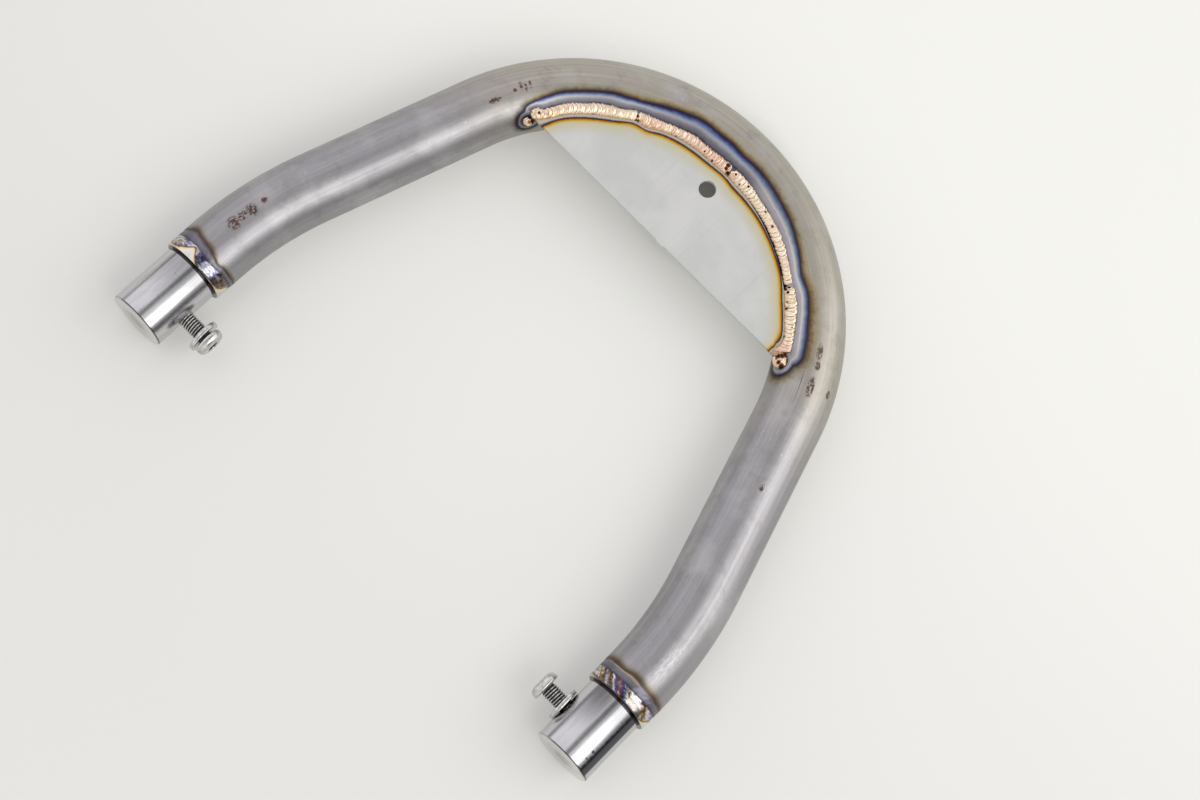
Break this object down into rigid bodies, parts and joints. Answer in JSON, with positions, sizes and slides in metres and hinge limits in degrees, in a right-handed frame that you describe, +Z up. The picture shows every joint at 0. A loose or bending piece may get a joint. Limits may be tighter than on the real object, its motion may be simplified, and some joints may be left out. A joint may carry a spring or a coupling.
{
  "type": "motorcycle subframe loop",
  "caption": "Hoop of bent steel tube with a half-moon mounting plate brazed inside its crown and a solid plug welded into each foot, cross screwed for joining to frame tubes.",
  "frame": {"origin": "on the surface the loop lies on, below the middle of its length and width", "axes": "+Y from the open feet towards the crown, +X across from the left foot to the right, +Z up out of the loop's plane, towards the side the plate is brazed on"},
  "size_m": [0.2328, 0.2068, 0.0254],
  "materials": {
    "drawn_tube": "bare drawn steel with a dull mill skin, fine scratches and brown specks",
    "plate_steel": "bare cold-rolled sheet, matt, heat tinted beside the braze",
    "turned_steel": "bright, fine turned",
    "fused_steel": "fused steel with blue, purple and straw heat tint",
    "braze_bronze": "silicon bronze as laid, rippled, copper pink",
    "stainless_steel": "polished stainless steel"
  },
  "bodies": {
    "root": {"hoop_tube": "drawn_tube", "mounting_plate": "plate_steel", "braze_pass_1": "braze_bronze", "braze_pass_2": "braze_bronze", "braze_pass_3": "braze_bronze", "braze_pass_4": "braze_bronze", "left_braze_tack": "braze_bronze", "right_braze_tack": "braze_bronze", "left_slug": "turned_steel", "right_slug": "turned_steel", "left_fusion_weld": "fused_steel", "right_fusion_weld": "fused_steel", "left_screw": "stainless_steel", "right_screw": "stainless_steel", "left_washer": "stainless_steel", "right_washer": "stainless_steel"}
  },
  "joints": []
}
